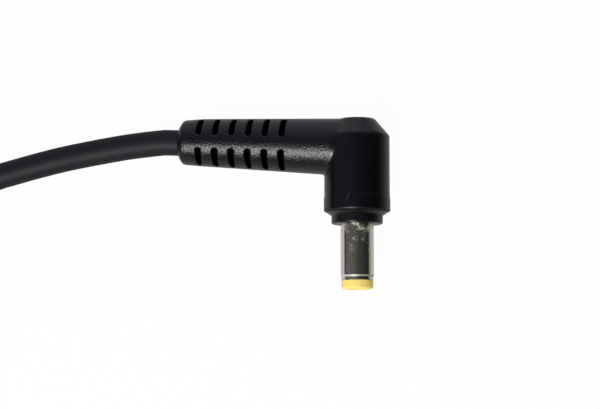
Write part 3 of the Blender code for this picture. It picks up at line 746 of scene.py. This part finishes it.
def fold_radius(offset, diameter):
    """Of a fold's centre line; the offset counts loops outwards from the innermost."""
    return HANK_FOLD * diameter + (offset - 0.25) * (diameter + HANK_CLEARANCE)


def loop_half_width(x, offset, diameter):
    """How far a run lies from the hank's middle line."""
    return fold_radius(offset, diameter) - (HANK_WAIST_IN - HANK_WAIST_WIDENING * offset) * drawn_in(x)


def mean_turn(diameter):
    return 2 * HANK_RUN + math.tau * fold_radius(TURNS_PER_LAYER / 2, diameter)


def hank_point(turn, diameter):
    """The lead's centre line in the hank, which goes clockwise in layers that spiral in and out."""
    share = HANK_RUN / mean_turn(diameter)
    period = 2 * TURNS_PER_LAYER
    offset = abs((turn + TURNS_PER_LAYER) % period - TURNS_PER_LAYER)
    layers = sum(ease(2 * (turn - i * TURNS_PER_LAYER) + 0.5) for i in range(HANK_CLIMBS))
    into = (turn + share / 2) % 1.0
    side = 1 if into < 0.5 else -1
    into = into % 0.5
    if into < share:
        x = side * (into / share - 0.5) * HANK_RUN
        y = side * loop_half_width(x, offset, diameter)
    else:
        angle = math.pi / 2 - math.pi * (into - share) / (0.5 - share)
        radius = loop_half_width(HANK_RUN / 2, offset, diameter)
        x = side * (HANK_RUN / 2 + radius * math.cos(angle))
        y = side * radius * math.sin(angle)
    lift = (STRAP_THICKNESS + GAP) * drawn_in(x)
    z = diameter / 2 + ABOVE_TABLE + lift + (diameter + HANK_CLEARANCE) * layers
    return Vector((HANK_CENTRE[0] + x, HANK_CENTRE[1] + y, z))


def hank_line(diameter):
    """The hank's centre line, with a straight diameter of lead at each end."""
    share = HANK_RUN / mean_turn(diameter)
    onto_fold = (math.pi / 2 - HANK_FIRST_ANGLE) / math.pi
    first = -TURNS_PER_LAYER + share / 2 + onto_fold * (0.5 - share)
    turns = HANK_LAST_TURN - first
    count = round(turns * POINTS_PER_TURN)
    line = [hank_point(first + turns * i / count, diameter) for i in range(count + 1)]
    into = (hank_point(first + 0.001, diameter) - line[0]).normalized()
    out = (hank_point(HANK_LAST_TURN + 0.001, diameter) - line[-1]).normalized()
    return [line[0] - into * diameter, *line, line[-1] + out * diameter]


def through(route, steps):
    """A smooth line through a route's points, from the second to the last but one."""
    line = []
    for before, start, end, after in zip(route, route[1:], route[2:], route[3:]):
        for i in range(steps):
            s = i / steps
            bend = (end - before) * s + (2 * before - 5 * start + 4 * end - after) * s**2
            line.append(start + 0.5 * (bend + (3 * start - before - 3 * end + after) * s**3))
    return [*line, route[-2]]


def lead_line(sizes):
    """The whole lead: from inside the handle, over the table and round the hank."""
    diameter = sizes.lead_diameter
    loops = hank_line(diameter)
    held = handle_place(sizes) @ lead_in_handle(sizes)
    back = [LEAD_HELD * share for share in (1.0, 0.67, 0.33, 0.1)]
    inside = [held @ Vector((0, 0, sizes.handle_reach - distance)) for distance in back]
    mouth = held @ Vector((0, 0, sizes.handle_reach + GAP))
    out = (mouth - inside[0]).normalized()
    route = [mouth, mouth + out * diameter / 2] + [Vector(point) * MM for point in LEAD_ROUTE]
    into = (loops[1] - loops[0]).normalized()
    route += [loops[0] - into * diameter / 2, loops[0]]
    return [*inside, mouth, *through(route, 3), *loops]


def past_the_end(sizes, start, end, steps, aside=0.0, up=0.0):
    """A line past the lead's cut end, along the loop that it would have gone on with."""
    diameter = sizes.lead_diameter
    line = []
    for i in range(steps + 1):
        distance = diameter + start + (end - start) * i / steps
        point = hank_point(HANK_LAST_TURN + distance / mean_turn(diameter), diameter)
        line.append(point + Vector((0, aside, up)))
    return line


# The pieces


class PlugOperator:
    """What the operators share."""

    bl_options = {"REGISTER", "UNDO"}

    def execute(self, context):
        self.build(context.scene.plug_sizes, context.scene.plug_colours)
        return {"FINISHED"}


class OBJECT_OT_plug_overmould(PlugOperator, bpy.types.Operator):
    """Model the soft black moulding with its body, handle and slots"""

    bl_idname = "object.plug_overmould"
    bl_label = "Overmould"

    def build(self, sizes, colours):
        to_handle = handle_in_plug(sizes)
        overmould = self.body(sizes)
        handle = self.handle(sizes)
        settle(handle, to_handle)
        combine(overmould, handle, "UNION")
        self.even_out(overmould)
        self.round_inner_corner(overmould, sizes)
        slots = self.slots(sizes)
        settle(slots, to_handle)
        combine(overmould, slots, "DIFFERENCE")
        self.even_out(overmould)
        modify(overmould, "SMOOTH", factor=0.5, iterations=3)
        for space in self.spaces(sizes, to_handle):
            combine(overmould, space, "DIFFERENCE")
        settle(overmould, plug_place(sizes))
        smooth(overmould, 40)
        dress(overmould, moulded_pvc(sizes, colours.overmould), "black_soft_pvc", "overmould")

    def body(self, sizes):
        """The round body with its end chamfer, and a lip at its mouth."""
        lip = sizes.body_radius + LIP_SWELL
        mouth = -sizes.body_length
        profile = [(sizes.end_face_radius, 0), (sizes.body_radius, -sizes.end_chamfer)]
        profile += [(sizes.body_radius, mouth + LIP_STARTS), (lip, mouth + LIP_FULL)]
        profile += rounded(lip, mouth, LIP_ROUNDING, 0, -90)
        return lathe("overmould_soft", profile)

    def handle(self, sizes):
        """A cone, drawn in to a worn chamfer at its end, which droops a little."""
        end = sizes.handle_reach - HANDLE_WORN_OFF
        profile = [(HANDLE_RIM, end)]
        for back, drawn in HANDLE_WEAR:
            along = end - back * MM
            profile.append((handle_radius(sizes, along) - drawn * MM, along))
        handle = lathe("handle", [*profile, (sizes.handle_root_radius, 0)])
        pick_parts(handle, "verts", lambda vertex: vertex.co.z > end - 0.1 * MM)
        bpy.ops.transform.translate(
            value=(-HANDLE_DROOP, 0, 0), use_proportional_edit=True, proportional_size=HANDLE_DROOP_SPAN
        )
        bpy.ops.object.mode_set(mode="OBJECT")
        return handle

    def slots(self, sizes):
        """Every slot of the handle, less the core that stays round the lead."""
        made = []
        for ring in range(sizes.slot_rings):
            along = sizes.handle_reach - SLOT_FIRST - ring * sizes.slot_pitch
            radius = handle_radius(sizes, along)
            upper = (UPPER_SLOT_FOOT, radius - UPPER_SLOT_SKIN)
            lower = (LOWER_SLOT_SKIN - radius, -LOWER_SLOT_HEAD)
            for low, high in (upper, lower):
                for side in (-1, 1):
                    slot = stadium(sizes.slot_width, high - low, SLOT_DEPTH)
                    # The prism's length lies across the handle and its depth through it.
                    turn = Matrix(((0, 1, 0), (0, 0, 1), (1, 0, 0))).to_4x4()
                    middle = Matrix.Translation(((low + high) / 2, side * SLOT_MIDDLE, along))
                    settle(slot, middle @ turn)
                    made.append(slot)
        slots = made[0]
        pick(slots)
        for slot in made:
            slot.select_set(True)
        bpy.ops.object.join()
        combine(slots, rod("core", SLOT_CORE, sizes.handle_reach + MM, -MM, 48), "DIFFERENCE")
        return slots

    def even_out(self, piece):
        """Fine even faces, whose edges are all a little rounded, as a soft moulding's are."""
        modify(piece, "REMESH", mode="VOXEL", voxel_size=EVEN_FACE)

    def round_inner_corner(self, piece, sizes):
        """Relaxes the band of faces where the handle runs into the round body."""
        from_handle = handle_in_plug(sizes).inverted()

        def near_corner(vertex):
            at = from_handle @ vertex.co
            off_body = abs(math.hypot(vertex.co.x, vertex.co.y) - sizes.body_radius)
            off_handle = abs(math.hypot(at.x, at.y) - handle_radius(sizes, at.z))
            return max(off_body, off_handle) < CORNER_BAND and vertex.co.z < -CORNER_TOP

        pick_parts(piece, "verts", near_corner)
        bpy.ops.mesh.vertices_smooth(factor=0.5, repeat=16)
        bpy.ops.object.mode_set(mode="OBJECT")

    def spaces(self, sizes, to_handle):
        """The hollow that the inner mould fills, and the channel that the lead runs in."""
        stem = rod("stem_space", STEM_RADIUS + GAP, GAP - STEM_TOP, -PAST_ALL)
        arm = rod("arm_space", ARM_RADIUS + GAP, ARM_REACH + GAP, 0)
        settle(arm, to_handle)
        channel = rod("channel", sizes.lead_diameter / 2 + CHANNEL_GAP, sizes.handle_reach + MM, 0)
        settle(channel, to_handle @ lead_in_handle(sizes))
        return stem, arm, channel


class OBJECT_OT_plug_inner_mould(PlugOperator, bpy.types.Operator):
    """Model the hard inner moulding, which shows as the collar"""

    bl_idname = "object.plug_inner_mould"
    bl_label = "Inner Mould"

    def build(self, sizes, colours):
        top = -sizes.body_length - SHOULDER_GAP
        end = -sizes.body_length - sizes.collar_length
        radius = sizes.collar_radius
        stations = [(STEM_RADIUS, -STEM_TOP), (STEM_RADIUS, top)]
        stations += [(radius + SHOULDER_WIDTH, top), (radius + SHOULDER_FOOT, top - SHOULDER_HEIGHT)]
        stations += rounded(radius, end, COLLAR_ROUNDING, 0, -90, 6)
        mould = lathe("inner_mould_collar", stations)
        arm = rod("arm", ARM_RADIUS, ARM_REACH, 0)
        settle(arm, handle_in_plug(sizes))
        combine(mould, arm, "UNION")
        bore = rod("bore", sizes.lead_diameter / 2 + BORE_GAP, ARM_BORE_REACH, 0)
        settle(bore, handle_in_plug(sizes))
        combine(mould, bore, "DIFFERENCE")
        barrel_space = sizes.barrel_radius + BORE_GAP
        hollow = [(CHAMBER_RADIUS, -CHAMBER_TOP), (CHAMBER_RADIUS, -CHAMBER_FLOOR)]
        hollow += [(barrel_space, -CHAMBER_FLOOR - CHAMBER_BEVEL), (barrel_space, -PAST_ALL)]
        combine(mould, lathe("hollow", hollow), "DIFFERENCE")
        settle(mould, plug_place(sizes))
        smooth(mould)
        dress(mould, hard_plastic(colours.collar), "black_hard_plastic", "inner_mould")


class OBJECT_OT_plug_barrel(PlugOperator, bpy.types.Operator):
    """Model the plated barrel, stepped near its mouth"""

    bl_idname = "object.plug_barrel"
    bl_label = "Barrel"

    def build(self, sizes, colours):
        radius = sizes.barrel_radius
        inside = radius - BARREL_WALL
        end = barrel_end(sizes)
        step = end + BARREL_STEP
        stations = [(inside, -BARREL_TOP), (radius, -BARREL_TOP)]
        stations += [(radius, step + STEP_RUN / 2), (radius - STEP_DEPTH, step - STEP_RUN / 2)]
        stations += [(radius - BARREL_END_DEPTH, end), (inside, end)]
        barrel = lathe("outer_barrel_plated", stations, closed=True)
        settle(barrel, plug_place(sizes))
        smooth(barrel, 30)
        dress(barrel, worn_plating(sizes, colours.plating), "worn_nickel", "outer_barrel")


class OBJECT_OT_plug_tip(PlugOperator, bpy.types.Operator):
    """Model the yellow tip and the sleeve that carries it"""

    bl_idname = "object.plug_tip"
    bl_label = "Tip"

    def build(self, sizes, colours):
        top = barrel_end(sizes) - TIP_GAP
        end = barrel_end(sizes) - sizes.tip_length
        radius = sizes.barrel_radius - TIP_SET_IN
        stations = [(SLEEVE_BORE, -SLEEVE_TOP), (SLEEVE_RADIUS, -SLEEVE_TOP), (SLEEVE_RADIUS, top)]
        stations += rounded(radius, top, TIP_EDGE, 90, 0, 2)
        stations += rounded(radius, end + TIP_DISH, TIP_ROUNDING, 0, -75, 6)
        stations += rounded(TIP_BORE, end, TIP_MOUTH_ROUNDING, 270, 180)
        stations += [(TIP_BORE, top - TIP_FLOOR), (SLEEVE_BORE, top - TIP_FLOOR)]
        tip = lathe("tip_insulator_yellow", stations, closed=True)
        settle(tip, plug_place(sizes))
        smooth(tip)
        dress(tip, yellow_plastic(colours.tip), "yellow_plastic", "tip_insulator")


class OBJECT_OT_plug_inner_parts(PlugOperator, bpy.types.Operator):
    """Finish the contact, terminals and wiring inside the plug"""

    bl_idname = "object.plug_inner_parts"
    bl_label = "Inner Parts"

    def build(self, sizes, colours):
        brass = plain_metal("bright_brass", (0.78, 0.6, 0.28), (0.62, 0.45, 0.2), 0.2)
        nickel = plain_metal("terminal_nickel", (0.62, 0.58, 0.54), (0.5, 0.48, 0.45), 0.22)
        solder = plain_metal("solder", (0.6, 0.6, 0.61), (0.42, 0.42, 0.43), 0.3, 4.0, 0.02)
        fibre = plain_plastic("grey_fibre", (0.36, 0.35, 0.33), (0.28, 0.27, 0.25), 0.6, 3.0, 0.02)
        finishes = {
            "centre_contact": brass,
            "centre_terminal": brass,
            "barrel_terminal": nickel,
            "centre_solder": solder,
            "barrel_solder": solder,
            "core_conductor": tinned_strands("bare_copper", (0.8, 0.42, 0.25), (0.55, 0.26, 0.15)),
            "screen_pigtail": tinned_strands("screen_strands", (0.68, 0.66, 0.62), (0.4, 0.38, 0.36)),
            "insulating_washer": fibre,
            "core_insulation": plain_plastic("core_white", (0.78, 0.77, 0.74), (0.7, 0.69, 0.66), 0.42),
            "pigtail_sleeve": plain_plastic("pigtail_black", (0.016, 0.016, 0.017), (0.03, 0.03, 0.03), 0.36),
        }
        for node, finish in finishes.items():
            data = frame["nodes"][node].data
            data.materials.clear()
            data.materials.append(finish)


class OBJECT_OT_plug_lead(PlugOperator, bpy.types.Operator):
    """Lay the lead from the handle over the table and round its hank, with its stripped end"""

    bl_idname = "object.plug_lead"
    bl_label = "Lead"

    def build(self, sizes, colours):
        lead = cable("output_lead", lead_line(sizes), sizes.lead_diameter, resolution=8)
        jacket = lead_jacket(colours.jacket)
        dress(lead, jacket, "black_lead_jacket", "dc_lead", "dc_lead_hank", "lead_jacket_end")
        pieces = self.stripped_end(sizes)
        pieces.append(self.strap(sizes, colours))

    def stripped_end(self, sizes):
        """A shrink sleeve, and two wires with tinned ends that lie on the loop below."""
        line = past_the_end(sizes, END_SLEEVE_START, END_SLEEVE_END, 12)
        sleeve = cable("end_shrink_sleeve", line, END_SLEEVE_DIAMETER, ends=0.97)
        shrink = plain_plastic("shrink_sleeve", (0.015, 0.015, 0.016), (0.028, 0.028, 0.03), 0.38, 1.2, 0.03)
        dress(sleeve, shrink, "black_shrink_sleeve", "end_sleeve")
        white = plain_plastic("wire_white", (0.78, 0.77, 0.74), (0.7, 0.69, 0.66), 0.42)
        black = plain_plastic("wire_black", (0.02, 0.02, 0.021), (0.03, 0.03, 0.032), 0.4)
        tinned = tinned_strands("tinned_strands", (0.7, 0.69, 0.66), (0.42, 0.41, 0.39))
        pieces = [sleeve]
        pieces += self.wire(sizes, "positive", WIRE_ASIDE, white, "white_insulation", tinned)
        pieces += self.wire(sizes, "negative", -WIRE_ASIDE, black, "black_shrink_sleeve", tinned)
        return pieces

    def wire(self, sizes, name, aside, finish, slot, tinned):
        """An insulated wire, and its tinned end."""
        up = WIRE_ABOVE_LOOP - sizes.lead_diameter / 2
        covered = past_the_end(sizes, END_SLEEVE_END, WIRE_END, 16, aside, up)
        core = cable(name + "_core", covered, WIRE_DIAMETER)
        dress(core, finish, slot, name + "_wire")
        bare = past_the_end(sizes, TINNED_START, TINNED_END, 6, aside, up)
        tip = cable(name + "_tinned", bare, TINNED_DIAMETER, ends=0.7)
        dress(tip, tinned, "tinned_copper", name + "_tinned_tip")
        return [core, tip]

    def strap(self, sizes, colours):
        """A strap round the waist, with the strap's thickness and soft edges."""
        strap = self.band(sizes)
        modify(strap, "SOLIDIFY", thickness=STRAP_THICKNESS, offset=1)
        modify(strap, "BEVEL", width=STRAP_EDGE, segments=3, limit_method="ANGLE")
        smooth(strap, 40)
        dress(strap, woven_strap(colours.strap), "black_strap", "hank_strap")
        return strap

    def band(self, sizes):
        """The strap's inner face: a box round the waist, with its ends off and its corners rounded."""

        def lies_along_x(edge):
            return abs(edge.verts[1].co.x - edge.verts[0].co.x) > 0.5 * STRAP_WIDTH

        diameter = sizes.lead_diameter
        beside = diameter / 2 + GAP
        left = hank_point(TURNS_PER_LAYER - 0.5, diameter).y - beside
        right = hank_point(TURNS_PER_LAYER, diameter).y + beside
        low = STRAP_THICKNESS + ABOVE_TABLE
        high = hank_point(HANK_CLIMBS * TURNS_PER_LAYER, diameter).z + beside
        centre = (HANK_CENTRE[0], (left + right) / 2, (low + high) / 2)
        scale = (STRAP_WIDTH, right - left, high - low)
        nothing_picked()
        bpy.ops.mesh.primitive_cube_add(size=1, location=centre, scale=scale)
        band = bpy.context.object
        band.name = "hank_tie"
        bpy.ops.object.transform_apply(location=True, rotation=True, scale=True)
        pick_parts(band, "faces", lambda face: abs(face.normal.x) > 0.5)
        bpy.ops.mesh.delete(type="ONLY_FACE")
        pick_parts(band, "edges", lies_along_x)
        bpy.ops.mesh.bevel(offset=STRAP_ROUNDING, segments=10)
        bpy.ops.mesh.select_all(action="SELECT")
        bpy.ops.mesh.normals_make_consistent(inside=False)
        bpy.ops.object.mode_set(mode="OBJECT")
        return band


class SCENE_OT_plug_studio(bpy.types.Operator):
    """Lay the table, hang the light and set the camera"""

    bl_idname = "scene.plug_studio"
    bl_label = "Studio"
    bl_options = {"REGISTER", "UNDO"}

    def execute(self, context):
        studio = context.scene.plug_studio
        context.scene.view_settings.view_transform = "Standard"
        self.camera(context, studio)
        self.light(studio)
        self.table(studio)
        self.world(context, studio)
        return {"FINISHED"}

    def camera(self, context, studio):
        back = Vector((math.sin(studio.yaw), 0, math.cos(studio.yaw))) * math.cos(studio.pitch)
        back.y = -math.sin(studio.pitch)
        right = Vector((math.cos(studio.yaw), 0, -math.sin(studio.yaw)))
        turn = Matrix((right, back.cross(right), back)).transposed()
        place = Vector(studio.aim) + studio.distance * back
        bpy.ops.object.camera_add(location=place, rotation=turn.to_euler())
        camera = context.object
        camera.name = "camera"
        camera.data.lens = studio.lens
        camera.data.clip_start = 10 * MM
        context.scene.camera = camera

    def light(self, studio):
        """One soft light over the table, leaning towards the tip and over the lead."""
        distance = studio.key_distance
        way = Vector((0, -math.sin(studio.key_tilt), math.cos(studio.key_tilt))) * math.cos(studio.key_side)
        way.x = -math.sin(studio.key_side)
        bpy.ops.object.light_add(type="AREA", location=way * distance)
        key = bpy.context.object
        key.name = "key"
        key.rotation_euler = way.to_track_quat("Z", "Y").to_euler()
        key.data.shape = "DISK"
        key.data.size = 2 * distance * math.tan(studio.key_spread)
        key.data.energy = studio.key_level * (math.pi * distance) ** 2

    def table(self, studio):
        """A white table that stays white to the camera and in gloss, and keeps a faint shadow."""
        bpy.ops.mesh.primitive_plane_add(size=3, location=(0, 0, 0))
        table = bpy.context.object
        table.name = "table"
        s = Shading("white_table")
        s.finish(base_color=(0.86, 0.86, 0.86), roughness=0.6, specular_ior_level=0.2)
        camera = s.ray("Camera")
        gloss = s.ray("Glossy") + s.ray("Transmission")
        less_at_right = 1.0 - s.rise(s.along(0), 16, 60, 0.75)
        level = camera + gloss * less_at_right * studio.gloss_level
        glow = s.add("ShaderNodeEmission", None, {"Strength": level})
        white = Wire(s, s.shader.outputs[0])
        mixed = s.add("ShaderNodeMixShader", None, {0: (camera + gloss) * 0.97, 1: white, 2: glow})
        s.feed(s.tree.nodes["Material Output"], {0: mixed})
        table.data.materials.append(s.material)

    def world(self, context, studio):
        """White behind the table to the camera, and a dim room in gloss."""
        world = bpy.data.worlds.new("room")
        world.use_nodes = True
        context.scene.world = world
        s = Shading.for_world(world)
        across, along = (s.add("ShaderNodeSeparateXYZ", None, {0: s.place}, output=i) for i in (0, 1))
        behind = along.or_more(0.0)
        dim = studio.room_level + studio.room_left * (0.5 - 0.5 * across) + studio.room_near * (along * along)
        dim = dim + (studio.room_far - studio.room_near) * (behind * behind)
        cool = s.colours(dim, (0.0, 0.0, 0.0), (0.90, 0.97, 1.3))
        plain = s.colours(s.ray("Glossy"), (0.3, 0.3, 0.3), cool)
        seen = s.colours(s.ray("Camera"), plain, (1.0, 1.0, 1.0))
        s.feed(s.shader, {"Color": seen})


class VIEW3D_PT_dc_plug(bpy.types.Panel):
    """Sizes, colours and pieces of the plug"""

    bl_label = "DC Plug"
    bl_space_type = "VIEW_3D"
    bl_region_type = "UI"
    bl_category = "DC Plug"

    def draw(self, context):
        for group_name in GROUPS:
            group = getattr(context.scene, group_name)
            box = self.layout.box()
            box.label(text=group_name.replace("plug_", "").title())
            for name in group.bl_rna.properties.keys():
                if name not in ("rna_type", "name"):
                    box.prop(group, name)
        for operator in OPERATORS:
            self.layout.operator(operator.bl_idname)


OPERATORS = (
    OBJECT_OT_plug_overmould,
    OBJECT_OT_plug_inner_mould,
    OBJECT_OT_plug_barrel,
    OBJECT_OT_plug_tip,
    OBJECT_OT_plug_inner_parts,
    OBJECT_OT_plug_lead,
    SCENE_OT_plug_studio,
)
GROUPS = {"plug_sizes": PlugSizes, "plug_colours": PlugColours, "plug_studio": PlugStudio}
CLASSES = (*GROUPS.values(), *OPERATORS, VIEW3D_PT_dc_plug)


def register():
    for made in CLASSES:
        bpy.utils.register_class(made)
    for name, group in GROUPS.items():
        setattr(bpy.types.Scene, name, PointerProperty(type=group))


def unregister():
    for name in GROUPS:
        delattr(bpy.types.Scene, name)
    for made in reversed(CLASSES):
        bpy.utils.unregister_class(made)


def main():
    register()
    bpy.ops.scene.plug_studio()
    bpy.ops.object.plug_lead()
    bpy.ops.object.plug_overmould()
    bpy.ops.object.plug_inner_mould()
    bpy.ops.object.plug_barrel()
    bpy.ops.object.plug_tip()
    bpy.ops.object.plug_inner_parts()


if __name__ == "__main__":
    main()
